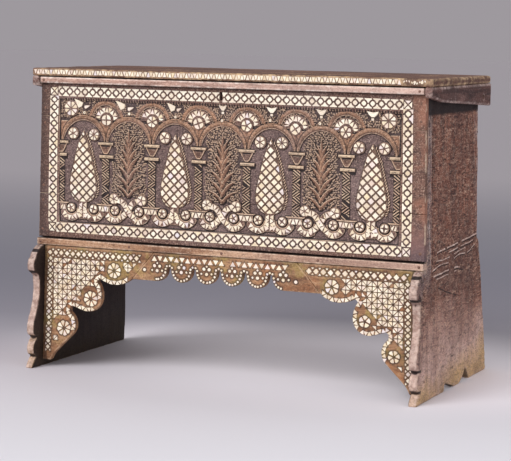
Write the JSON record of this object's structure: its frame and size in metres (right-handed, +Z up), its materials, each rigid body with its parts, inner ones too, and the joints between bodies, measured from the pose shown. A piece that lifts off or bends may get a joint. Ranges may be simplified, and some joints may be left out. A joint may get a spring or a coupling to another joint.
{
  "type": "arabic dowry chest",
  "caption": "Tall wooden dowry chest with a sunk front panel, a scalloped apron between leaning end boards that form the feet, a pivoting plank lid with end cleats and an iron lock.",
  "frame": {"origin": "middle of the chest's bounding box, on the floor", "axes": "+X to the right seen from the front, +Y towards the back, +Z up"},
  "size_m": [1.3322, 0.708, 0.958],
  "materials": {
    "walnut_case": "old dark walnut, worn and dry, hand tooled",
    "walnut_apron": "worn orange-brown walnut",
    "walnut_lid": "old grey-brown walnut, dry",
    "walnut_inner": "raw unfinished wood",
    "mother_of_pearl": "polished mother-of-pearl inlay in small pieces",
    "forged_iron": "forged iron, dark and matt"
  },
  "bodies": {
    "case": {"end_board_left": "walnut_case", "end_board_right": "walnut_case", "front_board_lower": "walnut_case", "front_board_middle": "walnut_case", "front_board_upper": "walnut_case", "back_board_lower": "walnut_inner", "back_board_upper": "walnut_inner", "top_rail": "walnut_case", "base_moulding": "walnut_apron", "apron_bracket_left": "walnut_apron", "apron_bracket_right": "walnut_apron", "apron_centre_strip": "walnut_apron", "front_sill": "walnut_inner", "back_sill": "walnut_inner", "floor_ledger_left": "walnut_inner", "floor_ledger_right": "walnut_inner", "floor_cross_batten": "walnut_inner", "floor_board_1": "walnut_inner", "floor_board_2": "walnut_inner", "floor_board_3": "walnut_inner", "lock_case": "forged_iron", "front_nails": "forged_iron", "moulding_nails": "forged_iron", "end_board_nails": "forged_iron", "apron_nails": "forged_iron", "floor_nails": "forged_iron", "lock_nails": "forged_iron"},
    "lid": {"lid_board_1": "walnut_lid", "lid_board_2": "walnut_lid", "lid_board_3": "walnut_lid", "lid_cleat_left": "walnut_lid", "lid_cleat_right": "walnut_lid", "hinge_pin_left": "walnut_lid", "hinge_pin_right": "walnut_lid", "lock_staple": "forged_iron", "lid_nails": "forged_iron", "staple_nails": "forged_iron"},
    "bolt": {"lock_bolt": "forged_iron"}
  },
  "joints": [
    {"name": "lid_hinge", "type": "hinge", "parent": "case", "child": "lid", "pos_m": [0, 0.216, 0.8917], "axis": [-1, 0, 0], "range_deg": [0, 98]},
    {"name": "bolt_slide", "type": "slide", "parent": "case", "child": "bolt", "axis": [1, 0, 0], "range_m": [0, 0.014]}
  ]
}
